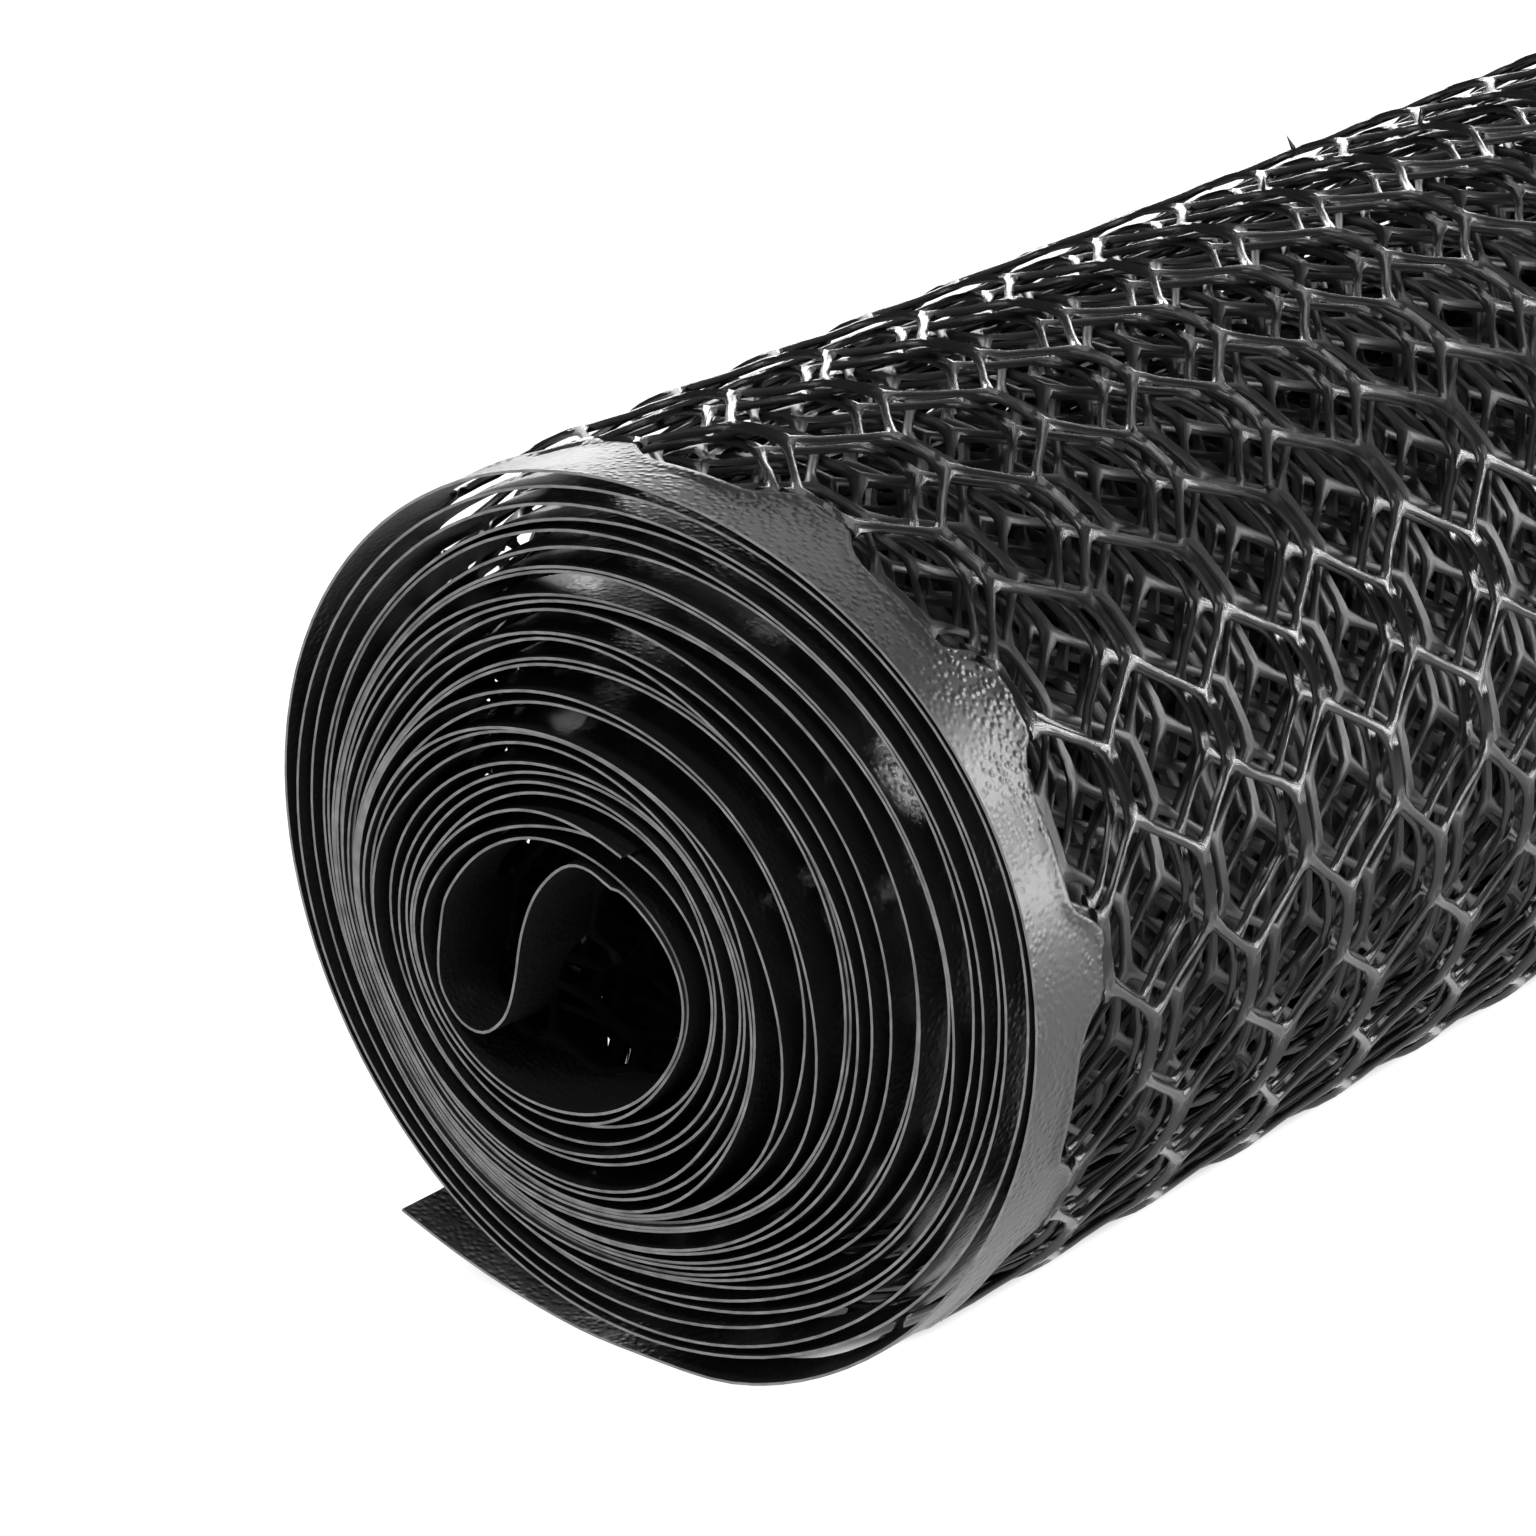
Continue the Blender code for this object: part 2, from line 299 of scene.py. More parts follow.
def through(knots, values, at):
    """Values on a smooth Catmull-Rom line through the knots, at these places."""
    knots = np.asarray(knots, float)
    values = np.asarray(values, float)
    index = np.clip(np.searchsorted(knots, at, side="right") - 1, 0, len(knots) - 2)
    before, after = np.maximum(index - 1, 0), np.minimum(index + 2, len(knots) - 1)
    span = knots[index + 1] - knots[index]
    part = (at - knots[index]) / span
    slope_in = (values[index + 1] - values[before]) / (knots[index + 1] - knots[before]) * span
    slope_out = (values[after] - values[index]) / (knots[after] - knots[index]) * span
    return (values[index] * (2 * part**3 - 3 * part**2 + 1)
            + slope_in * (part**3 - 2 * part**2 + part)
            + values[index + 1] * (3 * part**2 - 2 * part**3)
            + slope_out * (part**3 - part**2))


def smooth_step(value):
    value = np.clip(value, 0.0, 1.0)
    return value * value * (3 - 2 * value)


def softened(points, rounds):
    """The points with small kinks rubbed out, the ends kept."""
    for _ in range(rounds):
        points[1:-1] = points[1:-1] * 0.5 + (points[:-2] + points[2:]) * 0.25
    return points


def kept_apart(shares):
    """The turns moved inwards where one would come too close to the next, or pass through it."""
    for step in range(len(shares) - STEPS_PER_TURN - 1, -1, -1):
        most = shares[step + STEPS_PER_TURN] - CLOSEST_PITCH / winding_depth[step]
        shares[step] = min(shares[step], most)
    return shares


end_degrees = FULL_TURNS * 360 + LAST_ANGLE
turn_degrees = FIRST_ANGLE + np.arange(0, end_degrees - FIRST_ANGLE, 360 / STEPS_PER_TURN)
turn_degrees = np.append(turn_degrees, end_degrees)
turn_numbers = (turn_degrees - FIRST_ANGLE) / 360

columns = np.arange(len(TURN_PLACES) * COLUMNS_PER_TURN)
column_degrees = FIRST_COLUMN_ANGLE + 360 / COLUMNS_PER_TURN * columns
table_degrees = np.concatenate(((FIRST_ANGLE - 30, HOOK_ANGLE), column_degrees))
table_places = np.concatenate(((HOOK_PLACE, HOOK_PLACE), np.array(TURN_PLACES).ravel())) / 1000
winding_depth = winding_depths(turn_degrees)
edge_shares = kept_apart(through(table_degrees, table_places, turn_degrees))

last_turn = turn_numbers[-1]
even_rise = (1 - EVEN_START_PLACE) * (turn_numbers - EVEN_START_TURN)
even_shares = EVEN_START_PLACE + even_rise / (last_turn - EVEN_START_TURN)
evenness = smooth_step((turn_numbers - EVEN_FROM_TURN) / (EVEN_BY_TURN - EVEN_FROM_TURN))
net_shares = edge_shares * (1 - evenness) + even_shares * evenness
pressed = 0.0
for pressed_angle, half_angle, pressed_share in PRESSED_PLACES:
    from_there = np.abs((turn_degrees - pressed_angle + 180) % 360 - 180)
    pressed = pressed + pressed_share * smooth_step(1 - from_there / half_angle)
net_shares = 1 - (1 - net_shares) * (1 - pressed * smooth_step(net_shares * 2 - 1) * evenness)
last_shape = smooth_step((turn_numbers - last_turn + 1.0) / LAST_TURN_SETTLES_IN)
net_shares = kept_apart(net_shares * (1 - last_shape) + last_shape)

tail_degrees = np.arange(TAIL_LAST_ANGLE, TAIL_FIRST_ANGLE - 20, -360 / STEPS_PER_TURN)
tail_at = np.maximum(tail_degrees, TAIL_FIRST_ANGLE)
tail_shares = through(TAIL_PLACE_ANGLES, np.array(TAIL_PLACES) / 1000, tail_at)
tail_points = winding_points(tail_degrees, tail_shares)

fold_corners = np.array(FOLD) * ROLL_RADIUS + np.array((0, CENTRE_HEIGHT))
fold_start = tail_points[-1]
fold_end = winding_points(np.array((HOOK_ANGLE,)), np.array((HOOK_PLACE / 1000,)))[0]
fold_knots = np.vstack((tail_points[-4], fold_start, fold_corners[1:], fold_end))
fold_at = np.arange(1, len(fold_knots) - 1, 1 / FOLD_STEPS)
knot_numbers = np.arange(len(fold_knots))
fold_points = np.stack([through(knot_numbers, fold_knots[:, axis], fold_at) for axis in (0, 1)], axis=1)

from_hook = turn_degrees > HOOK_ANGLE


def sheet_line(shares):
    """The whole sheet's middle line, from the tail's cut end to the end of the loose end."""
    wound = winding_points(turn_degrees[from_hook], shares[from_hook])
    end, way = wound[-1], wound[-1] - wound[-2]
    way = way / np.linalg.norm(way)
    runs = LOOSE_LENGTH * np.arange(1, LOOSE_STEPS + 1) / LOOSE_STEPS
    turned = LOOSE_START_SLOPE + runs / LOOSE_BEND_RADIUS
    across = LOOSE_BEND_RADIUS * (np.sin(turned) - math.sin(LOOSE_START_SLOPE))
    up = LOOSE_BEND_RADIUS * (math.cos(LOOSE_START_SLOPE) - np.cos(turned))
    loose = end + np.stack((-across, up), axis=1)
    return softened(np.vstack((tail_points, fold_points, wound, loose)), KINKS_SOFTENED)


edge_line = sheet_line(edge_shares)
net_line = sheet_line(net_shares)
edge_steps = np.linalg.norm(np.diff(edge_line, axis=0), axis=1)
net_steps = np.linalg.norm(np.diff(net_line, axis=0), axis=1)
steps_between = (edge_steps + net_steps) / 2
line_runs = np.concatenate(((0.0,), np.cumsum(steps_between)))
first_wound = len(tail_points) + len(fold_points)
wound_degrees = turn_degrees[from_hook]


def run_at(degrees):
    """How far along the sheet the winding reaches this angle, counted from the first turn."""
    return np.interp(degrees, wound_degrees, line_runs[first_wound:first_wound + len(wound_degrees)])


def line_ways(line):
    """The way out of the sheet all along its middle line."""
    along = np.gradient(line, axis=0)
    along /= np.linalg.norm(along, axis=1)[:, None]
    return np.stack((-along[:, 1], along[:, 0]), axis=1)


edge_ways = line_ways(edge_line)
net_ways = line_ways(net_line)


# The net itself: six-sided gaps between strands that join two by two, with a smooth selvedge
# along both edges, all extruded in one piece. One gap's rim is modelled flat, repeated over the
# sheet, closed, and then wound along the middle line.
near_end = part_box("mesh_roll")[0][1]
far_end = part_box("mesh_roll")[1][1]
SELVEDGE = 0.0114
ROWS = 57
GAP_PITCH = 0.0272
FLAT_SIDE = 0.0073
STRAND_WIDTH = 0.00108
JOINED_WIDTH = 0.0017
JOINED_END_WIDTH = 0.0013
TIP_ROUNDING = 0.0005
CORNER_ROUNDING = 0.0024
JUTTING_NUB = 0.00045
FIRST_GAP_ANGLE = 33.6
REPEATS_IN_LAST_TURN = 10.92
ROW_SLANT = 0.044
FIRST_ROW_SLIP = 0.0013
ODD_ROW_SHIFT = 0.0004
SETTLING_WIDTH = 0.014
STEPS_DRAWN_TO_CORNERS = 0.07
ROUNDING_SAMPLES = 9
NET_EDGE_SHARE = 0.52
MERGE_WITHIN = 0.00001
CUT_WITHIN = 0.000001
PULL_ENDS_SHORT = 60

# Across a strand, from the middle of its outer face, round its side, to its inner face
STRAND_SECTION = ((0.0, 1.0), (0.52, 0.78), (0.95, 0.20), (0.95, -0.45), (0.0, -1.0))
JOINED_SECTION = ((0.0, -0.1), (0.54, 1.0), (0.97, 0.38), (0.96, -0.45), (0.0, -0.85))
PLAIN_SECTION = ((0.0, 1.0), (0.8, 0.55), (1.0, -0.3), (0.0, -1.0))
THIN_SECTION = ((0.0, 1.0), (1.0, 0.0), (0.0, -1.0))
SECTIONS = {4: STRAND_SECTION, 3: PLAIN_SECTION, 2: THIN_SECTION}

row_pitch = (far_end - near_end - 2 * SELVEDGE) / ROWS
slant_run = GAP_PITCH / 2 - FLAT_SIDE
rim_corners = np.array((
    # along the sheet, across it
    (-FLAT_SIDE / 2 - slant_run, 0.0),
    (-FLAT_SIDE / 2, row_pitch),
    (FLAT_SIDE / 2, row_pitch),
    (FLAT_SIDE / 2 + slant_run, 0.0),
    (FLAT_SIDE / 2, -row_pitch),
    (-FLAT_SIDE / 2, -row_pitch),
))
JOINED_SIDES = (1, 4)

# The outer turn is pulled a little longer than the one under it, so their gaps nearly line up
pulled_from = run_at((FULL_TURNS - 1) * 360 + FIRST_GAP_ANGLE)
pulled_to = run_at(FULL_TURNS * 360 - PULL_ENDS_SHORT)
pull = REPEATS_IN_LAST_TURN * GAP_PITCH - (run_at(FULL_TURNS * 360 + FIRST_GAP_ANGLE) - pulled_from)
line_runs = line_runs + pull * np.clip((line_runs - pulled_from) / (pulled_to - pulled_from), 0, 1)
sheet_length = line_runs[-1]
loose_start_run = line_runs[first_wound + len(wound_degrees) - 1]
phase_run = run_at(FULL_TURNS * 360 + FIRST_GAP_ANGLE) % GAP_PITCH


def gap_rim(name, points_per_side, across, thickness):
    """The rim round one gap, out to the middle of the strands that it shares with its neighbours."""
    around = 6 * points_per_side
    fine = across == 4
    section = np.array(SECTIONS[across])
    joined_section = np.array(JOINED_SECTION if fine else SECTIONS[across])
    half_height = thickness * HALF_STRAND
    bpy.ops.object.select_all(action="DESELECT")
    bpy.ops.mesh.primitive_grid_add(x_subdivisions=around, y_subdivisions=across, size=1)
    rim = bpy.context.object
    rim.name = name
    flat = np.empty(len(rim.data.vertices) * 3)
    rim.data.vertices.foreach_get("co", flat)
    flat = flat.reshape(-1, 3)
    step_round = np.rint((flat[:, 0] + 0.5) * around).astype(int) % around
    row = np.rint((flat[:, 1] + 0.5) * across).astype(int)

    side = step_round // points_per_side
    plain_part = (step_round % points_per_side) / points_per_side
    part = plain_part - STEPS_DRAWN_TO_CORNERS * np.sin(2 * math.pi * plain_part)
    side_ways = np.roll(rim_corners, -1, axis=0) - rim_corners
    side_ways /= np.linalg.norm(side_ways, axis=1)[:, None]
    inward = np.stack((side_ways[:, 1], -side_ways[:, 0]), axis=1)
    widths = np.where(np.isin(np.arange(6), JOINED_SIDES), JOINED_END_WIDTH, STRAND_WIDTH)
    half_widths = widths / 2 * thickness
    reaches = (inward * rim_corners).sum(axis=1) + half_widths
    reaches_before = (np.roll(inward, 1, axis=0) * rim_corners).sum(axis=1) + np.roll(half_widths, 1)
    lines = np.stack((np.roll(inward, 1, axis=0), inward), axis=1)
    inner_corners = np.linalg.solve(lines, np.stack((reaches_before, reaches), axis=1)[..., None])[..., 0]
    inner_sides = np.linalg.norm(np.roll(inner_corners, -1, axis=0) - inner_corners, axis=1)
    inner_runs = np.concatenate(((0.0,), np.cumsum(inner_sides)))
    roundings = np.array([TIP_ROUNDING if corner in (0, 3) else CORNER_ROUNDING for corner in range(7)])
    roundings[6] = TIP_ROUNDING

    def rounded_rim(parts):
        """The inner rim at these parts of each side, its corners rounded by averaging along it."""
        at = inner_runs[side] + inner_sides[side] * parts
        blend = smooth_step(parts)
        window = roundings[side] * (1 - blend) + roundings[side + 1] * blend
        total = np.zeros((len(at), 2))
        for axis in (0, 1):
            closed = np.append(inner_corners[:, axis], inner_corners[0, axis])
            for offset in np.linspace(-1, 1, ROUNDING_SAMPLES):
                near = (at + window * offset) % inner_runs[-1]
                total[:, axis] += np.interp(near, inner_runs, closed) / ROUNDING_SAMPLES
        return total

    start, end = rim_corners[side], rim_corners[(side + 1) % 6]
    joined = np.isin(side, JOINED_SIDES)
    at_corner = plain_part == 0
    rim_line = rounded_rim(part)
    crown = (rim_line + start + end - rounded_rim(1 - part)) / 2
    crown = np.where(joined[:, None], start + (end - start) * part[:, None], crown)
    crown = np.where(at_corner[:, None], start, crown)
    swell = np.sin(math.pi * plain_part) ** 0.7
    bulge = np.where(joined, (JOINED_WIDTH - JOINED_END_WIDTH) / 2 * swell * thickness, 0.0)
    edge = rim_line + inward[side] * bulge[:, None] - crown
    corner_way = edge / np.linalg.norm(edge, axis=1)[:, None]

    grooved = np.where(joined, swell, 0.0)
    rule = section[row] * (1 - grooved)[:, None] + joined_section[row] * grooved[:, None]
    place = crown + edge * rule[:, :1]
    height = half_height * rule[:, 1]
    if fine:
        nub = at_corner & (side == 0)
        at_side = nub & (row == 3)
        place = np.where(at_side[:, None], place + corner_way * JUTTING_NUB, place)
        height = np.where(at_side, half_height * 0.5, height)
        height = np.where(nub & (row == 2), half_height * 0.9, height)
    rim.data.vertices.foreach_set("co", np.column_stack((place, height)).ravel())
    return rim


def repeat(piece, count, along, across):
    modifier = piece.modifiers.new("repeat", "ARRAY")
    modifier.count = count
    modifier.use_relative_offset = False
    modifier.use_constant_offset = True
    modifier.constant_offset_displace = (along, across, 0)
    modifier.use_merge_vertices = False
    bpy.ops.object.modifier_apply(modifier=modifier.name)


def slice_off(place, way):
    """Cuts the flat net straight across and closes the cut strands."""
    bpy.ops.mesh.select_all(action="SELECT")
    bpy.ops.mesh.bisect(plane_co=place, plane_no=way, use_fill=True, clear_outer=True, threshold=CUT_WITHIN)


def flat_net(name, start_run, end_run, points_per_side, across, thickness):
    """The flat net between two places along the sheet, from one selvedge to the other."""
    net = gap_rim(name, points_per_side, across, thickness)
    other = net.copy()
    other.data = net.data.copy()
    bpy.context.collection.objects.link(other)
    other.location = (GAP_PITCH / 2, row_pitch, 0)
    other.select_set(True)
    bpy.ops.object.join()
    repeat(net, ROWS // 2 + 3, 0, 2 * row_pitch)
    first_gap = math.floor((start_run - phase_run) / GAP_PITCH) - 2
    last_gap = math.ceil((end_run - phase_run) / GAP_PITCH) + 2
    repeat(net, last_gap - first_gap + 1, GAP_PITCH, 0)
    net.location = (phase_run + first_gap * GAP_PITCH, -2 * row_pitch, 0)
    bpy.ops.object.transform_apply(location=True, rotation=False, scale=False)
    bpy.ops.object.mode_set(mode="EDIT")
    bpy.ops.mesh.select_all(action="SELECT")
    bpy.ops.mesh.remove_doubles(threshold=MERGE_WITHIN)
    bpy.ops.mesh.normals_make_consistent(inside=False)
    slice_off((start_run, 0, 0), (-1, 0, 0))
    slice_off((end_run, 0, 0), (1, 0, 0))
    slice_off((0, -JOINED_WIDTH * NET_EDGE_SHARE, 0), (0, -1, 0))
    slice_off((0, ROWS * row_pitch + JOINED_WIDTH * NET_EDGE_SHARE, 0), (0, 1, 0))
    bpy.ops.mesh.select_all(action="SELECT")
    bpy.ops.mesh.normals_make_consistent(inside=False)
    bpy.ops.object.mode_set(mode="OBJECT")
    return net


# The selvedges are thin and smooth, pimpled like orange peel, and cut straight at the roll's
# ends. On the net's side their rim is scalloped, with a rounded bead that runs on into a strand.
SCALLOP_DEPTH = 0.0042
SCALLOP_HALF_LENGTH = 0.0098
RIM_BEAD = 0.00046
LOW_BEAD = 0.00026
FINE_BAND_SECTION = (
    # 0 at the cut edge to 1 at the rim, how far short of it, share of sheet's and bead's height
    (0.0, 0.0, -1, 0),
    (0.0, 0.0, 1, 0),
    (0.30, 0.0, 1, 0),
    (0.65, 0.0, 1, 0),
    (1.0, 0.0019, 1, 0),
    (1.0, 0.0011, 0, 0.85),
    (1.0, 0.0005, 0, 1),
    (1.0, 0.0, 0, 0.1),
    (1.0, 0.0006, 0, -1),
    (1.0, 0.0019, -1, 0),
)
THIN_BAND_SECTION = (
    (0.0, 0.0, -1, 0),
    (0.0, 0.0, 1, 0),
    (1.0, 0.0006, 0, 1),
    (1.0, 0.0, 0, 0),
    (1.0, 0.0006, 0, -1),
)


def flat_band(name, start_run, end_run, at_far_end, steps_per_gap, fine):
    """One selvedge, with its scalloped and beaded rim on the net's side, laid flat."""
    section = np.array(FINE_BAND_SECTION if fine else THIN_BAND_SECTION, float)
    phase = phase_run + (GAP_PITCH / 2 if at_far_end and ROWS % 2 else 0)
    step_run = GAP_PITCH / steps_per_gap
    first_step = math.floor((start_run - phase) / step_run)
    last_step = math.ceil((end_run - phase) / step_run)
    count = last_step - first_step
    bpy.ops.object.select_all(action="DESELECT")
    bpy.ops.mesh.primitive_grid_add(x_subdivisions=count, y_subdivisions=len(section), size=1)
    band = bpy.context.object
    band.name = name
    flat = np.empty(len(band.data.vertices) * 3)
    band.data.vertices.foreach_get("co", flat)
    flat = flat.reshape(-1, 3)
    steps = np.rint((flat[:, 0] + 0.5) * count) + first_step
    runs = np.clip(phase + steps * step_run, start_run, end_run)
    rows = np.rint((flat[:, 1] + 0.5) * len(section)).astype(int) % len(section)
    rule = section[rows]
    from_middle = (runs - phase + GAP_PITCH / 2) % GAP_PITCH - GAP_PITCH / 2
    share = from_middle / SCALLOP_HALF_LENGTH
    power = np.where(share < 0, 4.0, 7.0)
    dip = np.clip(1 - np.abs(share) ** power, 0, 1) ** np.where(share < 0, 1.0, 0.65)
    rim = -SCALLOP_DEPTH * dip
    bead = LOW_BEAD + (RIM_BEAD - LOW_BEAD) * smooth_step(0.5 + share * 0.8)
    across = -SELVEDGE + (rim + SELVEDGE - rule[:, 1]) * rule[:, 0]
    heights = rule[:, 2] * BAND_SHEET / 2 + rule[:, 3] * bead
    if at_far_end:
        across = ROWS * row_pitch - across
    band.data.vertices.foreach_set("co", np.column_stack((runs, across, heights)).ravel())
    bpy.ops.object.mode_set(mode="EDIT")
    bpy.ops.mesh.select_all(action="SELECT")
    bpy.ops.mesh.remove_doubles(threshold=MERGE_WITHIN)
    bpy.ops.mesh.fill_holes(sides=0)
    bpy.ops.mesh.select_all(action="SELECT")
    bpy.ops.mesh.normals_make_consistent(inside=False)
    bpy.ops.object.mode_set(mode="OBJECT")
    return band


# Winding it up: the turns lie a little unevenly, the stiff joined strands bow outwards, each edge
# steps in and out by a fraction of a millimetre, and the folded-back inner end stands out of the
# roll at its cut corner.
JOINT_BOW = 0.0004
EDGE_STEP = 0.00050
TAIL_STANDS_OUT = 0.0018
TAIL_CORNER = 0.022
TAIL_CORNER_ACROSS = 0.03
SLOW_SWAY = 0.0004
QUICK_SWAY = 0.00012
HEIGHT_SWAY = 0.00005
SLOW_SWAY_BEGINS_IN = 0.012
QUICK_SWAY_BEGINS_IN = 0.002
FAR_EDGE_PAST = 0.25
LOWEST = 0.00002


def sway(places, length, seed):
    """A slow unevenness between -1 and 1 along these places."""
    turns = places / length * 2 * math.pi
    return (np.sin(turns + seed)
            + np.sin(turns * 1.618 + seed * 2.3) * 0.7
            + np.sin(turns * 0.53 + seed * 4.1) * 0.8) / 2.5


def wind_up(piece):
    """Winds a flat piece of the sheet along its middle line, edge line and net line blended."""
    flat = np.empty(len(piece.data.vertices) * 3)
    piece.data.vertices.foreach_get("co", flat)
    along, across, height = flat.reshape(-1, 3).T
    inside_net = np.clip(across, 0, ROWS * row_pitch)
    from_rim = np.minimum(inside_net, ROWS * row_pitch - inside_net)
    loose = smooth_step(from_rim / SLOW_SWAY_BEGINS_IN)
    a_little_loose = smooth_step(from_rim / QUICK_SWAY_BEGINS_IN)
    slip = ROW_SLANT * inside_net + FIRST_ROW_SLIP * (1 - np.exp(-inside_net / row_pitch))
    run = along - slip
    run = run + SLOW_SWAY * loose * sway(across + along * 0.31, 0.047, 1.0)
    run = run + QUICK_SWAY * a_little_loose * sway(across * 0.8 + along, 0.0053, 5.0)
    side = across + ODD_ROW_SHIFT * np.cos(math.pi * inside_net / row_pitch) * a_little_loose
    side = side + SLOW_SWAY * loose * sway(along - across * 0.27, 0.053, 2.0)
    side = side + QUICK_SWAY * a_little_loose * sway(along * 0.9 - across * 0.7, 0.0046, 6.0)
    side = side + EDGE_STEP * sway(along, 0.17, 3.0) * np.where(across > FAR_EDGE_PAST, -1, 1)
    corner = smooth_step(1 - along / TAIL_CORNER) * smooth_step(1 - across / TAIL_CORNER_ACROSS)
    side = side - TAIL_STANDS_OUT * corner
    height = height + HEIGHT_SWAY * a_little_loose * sway(along + across * 1.3, 0.0061, 7.0)
    bow = np.cos((along - phase_run) / GAP_PITCH * 2 * math.pi) * np.cos(across / row_pitch * math.pi)
    height = height - JOINT_BOW * bow * smooth_step(from_rim / row_pitch)
    run = np.clip(run, 0, sheet_length)
    settled = smooth_step(from_rim / SETTLING_WIDTH)
    place = np.zeros((len(along), 2))
    way = np.zeros((len(along), 2))
    for axis in (0, 1):
        place[:, axis] = (np.interp(run, line_runs, edge_line[:, axis]) * (1 - settled)
                          + np.interp(run, line_runs, net_line[:, axis]) * settled)
        way[:, axis] = (np.interp(run, line_runs, edge_ways[:, axis]) * (1 - settled)
                        + np.interp(run, line_runs, net_ways[:, axis]) * settled)
    way /= np.linalg.norm(way, axis=1)[:, None]
    place += way * height[:, None]
    place[:, 1] = np.maximum(place[:, 1], LOWEST)
    side = side + near_end + SELVEDGE
    piece.data.vertices.foreach_set("co", np.column_stack((place[:, 0], side, place[:, 1])).ravel())
    piece.data.update()


# The plastic is a near-black polyethylene: glossy on the strands, with fine drawn streaks along
# them, pimpled on the selvedges, and dull grey where the sheet was cut.
def plain_plastic(name, colour, roughness):
    material = bpy.data.materials.new(name)
    material.use_nodes = True
    nodes, links = material.node_tree.nodes, material.node_tree.links
    shader = nodes["Principled BSDF"]
    shader.inputs["Base Color"].default_value = (colour, colour, colour * 1.04, 1)
    shader.inputs["Roughness"].default_value = roughness
    return material, nodes, links, shader


black_strands, nodes, links, shader = plain_plastic("black_plastic_strands", 0.012, 0.27)
place_on = nodes.new("ShaderNodeTexCoord")
split_map = nodes.new("ShaderNodeSeparateXYZ")
split_place = nodes.new("ShaderNodeSeparateXYZ")
join_ways = nodes.new("ShaderNodeCombineXYZ")
streak_scale = nodes.new("ShaderNodeVectorMath")
streak_scale.operation = "MULTIPLY"
streak_scale.inputs[1].default_value = (14, 15, 90)
streaks = nodes.new("ShaderNodeTexNoise")
streaks.inputs["Scale"].default_value = 1.0
streaks.inputs["Detail"].default_value = 2.0
streak_bump = nodes.new("ShaderNodeBump")
streak_bump.inputs["Strength"].default_value = 0.35
streak_bump.inputs["Distance"].default_value = 0.00012
links.new(place_on.outputs["UV"], split_map.inputs[0])
links.new(place_on.outputs["Object"], split_place.inputs[0])
links.new(split_map.outputs["X"], join_ways.inputs["X"])
links.new(split_map.outputs["Y"], join_ways.inputs["Y"])
links.new(split_place.outputs["Y"], join_ways.inputs["Z"])
links.new(join_ways.outputs[0], streak_scale.inputs[0])
links.new(streak_scale.outputs[0], streaks.inputs["Vector"])
links.new(streaks.outputs["Fac"], streak_bump.inputs["Height"])
links.new(streak_bump.outputs["Normal"], shader.inputs["Normal"])
gloss_patches = nodes.new("ShaderNodeTexNoise")
gloss_patches.inputs["Scale"].default_value = 140
gloss_range = nodes.new("ShaderNodeMapRange")
gloss_range.name = "gloss_range"
gloss_range.inputs["To Min"].default_value = 0.16
gloss_range.inputs["To Max"].default_value = 0.27
links.new(place_on.outputs["Object"], gloss_patches.inputs["Vector"])
links.new(gloss_patches.outputs["Fac"], gloss_range.inputs["Value"])
links.new(gloss_range.outputs["Result"], shader.inputs["Roughness"])

# Deeper in the roll the same plastic is made rougher, and its reflection is turned down as painted
# shade, so that it stays dark behind the outer turns, as in the photo
shaded_deeper_strands = black_strands.copy()
shaded_deeper_strands.name = "black_plastic_strands_deeper_shaded"
shaded_deeper_strands.node_tree.nodes["gloss_range"].inputs["To Min"].default_value = 0.28
shaded_deeper_strands.node_tree.nodes["gloss_range"].inputs["To Max"].default_value = 0.44
shaded_deeper_strands.node_tree.nodes["Principled BSDF"].inputs["Specular IOR Level"].default_value = 0.30

black_selvedge, nodes, links, shader = plain_plastic("black_plastic_selvedge", 0.014, 0.36)
place_on = nodes.new("ShaderNodeTexCoord")
pimples = nodes.new("ShaderNodeTexVoronoi")
pimples.feature = "SMOOTH_F1"
pimples.inputs["Scale"].default_value = 1250
pimples.inputs["Smoothness"].default_value = 0.4
pimple_tops = nodes.new("ShaderNodeMapRange")
pimple_tops.inputs["From Min"].default_value = 0.08
pimple_tops.inputs["From Max"].default_value = 0.58
pimple_tops.inputs["To Min"].default_value = 1.0
pimple_tops.inputs["To Max"].default_value = 0.0
pimple_zones = nodes.new("ShaderNodeTexNoise")
pimple_zones.inputs["Scale"].default_value = 90
zone_range = nodes.new("ShaderNodeMapRange")
zone_range.inputs["From Min"].default_value = 0.34
zone_range.inputs["From Max"].default_value = 0.60
zone_range.inputs["To Min"].default_value = 0.2
pimple_height = nodes.new("ShaderNodeMath")
pimple_height.operation = "MULTIPLY"
pimple_bump = nodes.new("ShaderNodeBump")
pimple_bump.inputs["Strength"].default_value = 0.9
pimple_bump.inputs["Distance"].default_value = 0.00010
links.new(place_on.outputs["Object"], pimples.inputs["Vector"])
links.new(place_on.outputs["Object"], pimple_zones.inputs["Vector"])
links.new(pimples.outputs["Distance"], pimple_tops.inputs["Value"])
links.new(pimple_zones.outputs["Fac"], zone_range.inputs["Value"])
links.new(pimple_tops.outputs["Result"], pimple_height.inputs[0])
links.new(zone_range.outputs["Result"], pimple_height.inputs[1])
links.new(pimple_height.outputs[0], pimple_bump.inputs["Height"])
links.new(pimple_bump.outputs["Normal"], shader.inputs["Normal"])

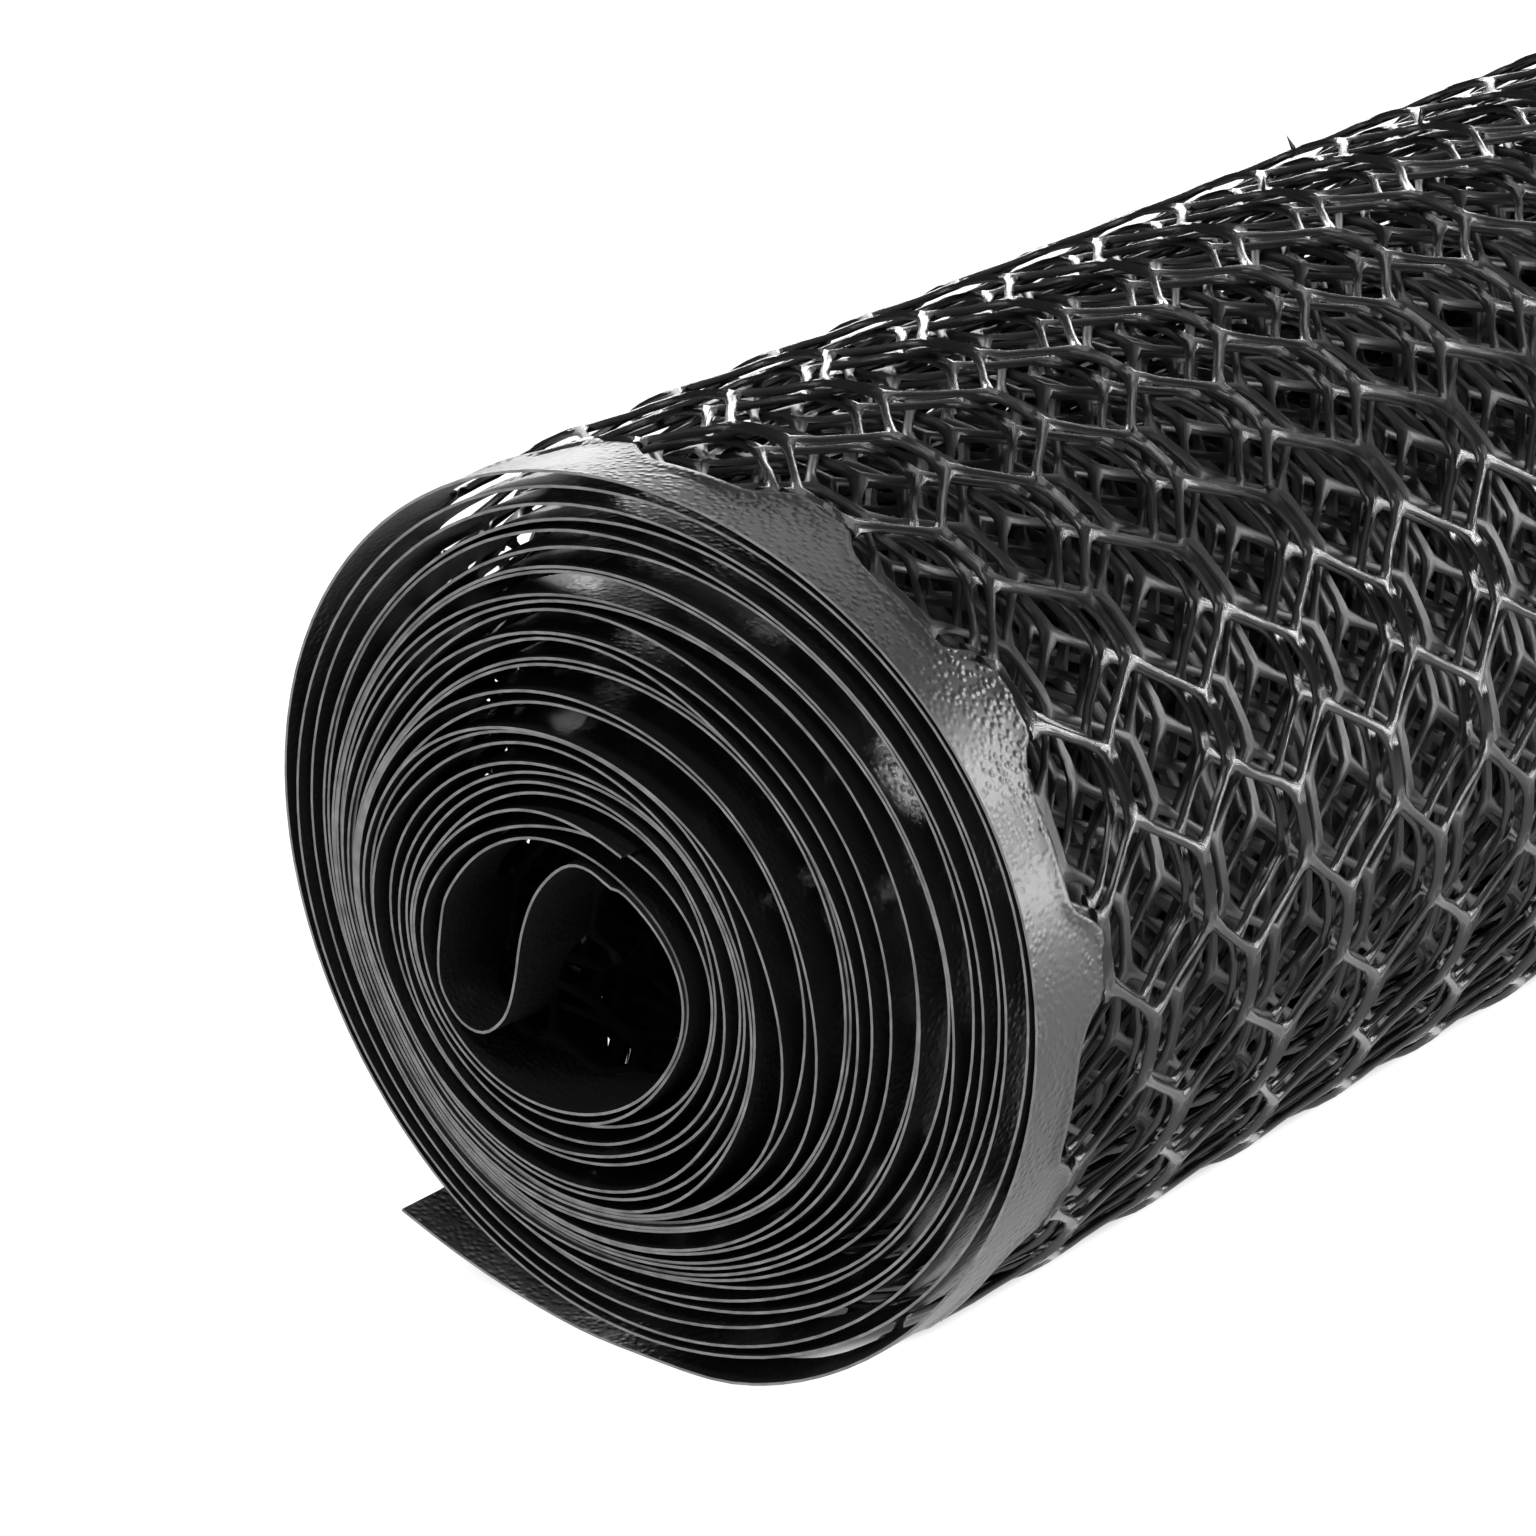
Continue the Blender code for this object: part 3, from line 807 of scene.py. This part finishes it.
cut_plastic, nodes, links, shader = plain_plastic("black_plastic_cut_edge", 0.17, 0.55)
place_on = nodes.new("ShaderNodeTexCoord")
scuffs = nodes.new("ShaderNodeTexNoise")
scuffs.inputs["Scale"].default_value = 420
scuffs.inputs["Detail"].default_value = 3.0
scuff_colours = nodes.new("ShaderNodeValToRGB")
scuff_colours.color_ramp.elements[0].position = 0.3
scuff_colours.color_ramp.elements[0].color = (0.13, 0.13, 0.13, 1)
scuff_colours.color_ramp.elements[1].position = 0.7
scuff_colours.color_ramp.elements[1].color = (0.28, 0.28, 0.28, 1)
links.new(place_on.outputs["Object"], scuffs.inputs["Vector"])
links.new(scuffs.outputs["Fac"], scuff_colours.inputs["Fac"])
links.new(scuff_colours.outputs["Color"], shader.inputs["Base Color"])

# The sheet is made in nine pieces that meet end to end, plainer the deeper they lie. Each is
# declared with the least share of its rectangle that a sheet may have.
SMOOTH_ANGLE = math.radians(62)
FINELY_MADE = 3
SHEET_PIECES = (
    # name, from turn, to turn, points on each side of a gap and across it, thickness, band steps
    ("net_core_turns", -9, 3, 2, 2, 1.0, 28),
    ("net_inner_turns", 3, 9, 1, 2, 1.0, 18),
    ("net_middle_turns", 9, 16, 1, 2, 1.0, 14),
    ("net_deep_turns", 16, 18.97, 2, 2, 1.0, 12),
    ("net_lower_turns", 18.97, 21.47, 2, 3, 0.9, 12),
    ("net_under_turns", 21.47, 23.47, 3, 4, 0.92, 14),
    ("net_second_turn", 23.47, 24.47, 5, 4, 0.97, 16),
    ("net_outer_turn", 24.47, 99, 6, 4, 1.0, 20),
)


# Little torn threads of plastic that stand up from the strands' joints on the outer turn
BURRS = (
    # degrees round the roll, distance from the near end, length, lean
    (-24.6, 0.1536, 0.0027, 0.2),
    (-25.7, 0.1428, 0.0024, -0.3),
    (-20.7, 0.1240, 0.0023, 0.3),
    (39.8, 0.0648, 0.0019, 0.8),
    (20.9, 0.0334, 0.0010, 0.4),
    (31.4, 0.0510, 0.0010, -0.4),
)
BURR_RADIUS = 0.00036
BURR_LEANS_BACK = 0.6
BURR_STANDS_AT = 0.42
BURR_LIFT = 0.0001


def burr(degrees, from_end, length, lean):
    """One torn thread, standing on the joint that is nearest to this place."""
    row = round((from_end - SELVEDGE) / row_pitch)
    across = row * row_pitch
    slip = ROW_SLANT * across + FIRST_ROW_SLIP * (1 - math.exp(-across / row_pitch))
    along = float(run_at(FULL_TURNS * 360 + degrees)) + slip
    first_joint = phase_run + (0 if row % 2 else GAP_PITCH / 2) - FLAT_SIDE / 2
    along = first_joint + GAP_PITCH * round((along - first_joint) / GAP_PITCH)
    bpy.ops.mesh.primitive_cone_add(vertices=6, radius1=BURR_RADIUS, depth=length, end_fill_type="NGON")
    thread = bpy.context.object
    thread.rotation_euler = (lean * BURR_LEANS_BACK, lean, 0)
    thread.location = (along, across, length * BURR_STANDS_AT + BURR_LIFT)
    return thread


def sheet_piece(name, start_run, end_run, points_per_side, across, thickness, band_steps):
    """One piece of the sheet with its two selvedges, wound up, joined and given its plastic."""
    net = flat_net(name, start_run, end_run, points_per_side, across, thickness)
    net.data.materials.append(black_strands if points_per_side > FINELY_MADE else shaded_deeper_strands)
    if name == "net_outer_turn":
        threads = [burr(*numbers) for numbers in BURRS]
        bpy.ops.object.select_all(action="DESELECT")
        for thread in threads:
            thread.select_set(True)
            thread.data.materials.append(black_strands)
        net.select_set(True)
        bpy.context.view_layer.objects.active = net
        bpy.ops.object.join()
    band_name = name + "_band"
    bands = [flat_band(band_name, start_run, end_run, far, band_steps, across == 4) for far in (False, True)]
    for band in bands:
        band.data.materials.append(black_selvedge)
        band.data.materials.append(cut_plastic)
        for face in band.data.polygons:
            middle = face.center.y
            near_cut = middle < -SELVEDGE + MERGE_WITHIN
            on_cut_edge = near_cut or middle > ROWS * row_pitch + SELVEDGE - MERGE_WITHIN
            face.material_index = 1 if on_cut_edge else 0
    bpy.ops.object.select_all(action="DESELECT")
    for piece in [net] + bands:
        wind_up(piece)
        piece.select_set(True)
    bpy.context.view_layer.objects.active = net
    bpy.ops.object.join()
    bpy.ops.object.shade_smooth_by_angle(angle=SMOOTH_ANGLE)
    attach(net, "root")
    return net


for name, from_turn, to_turn, points_per_side, across, thickness, band_steps in SHEET_PIECES:
    start_run = 0.0 if from_turn < 0 else float(run_at(FIRST_ANGLE + 360 * from_turn))
    end_run = float(loose_start_run) if to_turn > 90 else float(run_at(FIRST_ANGLE + 360 * to_turn))
    net = sheet_piece(name, start_run, end_run, points_per_side, across, thickness, band_steps)
    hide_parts("mesh_roll")

loose = sheet_piece("loose_end_net", float(loose_start_run), float(sheet_length), 6, 4, 1.0, 20)
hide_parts("loose_end")
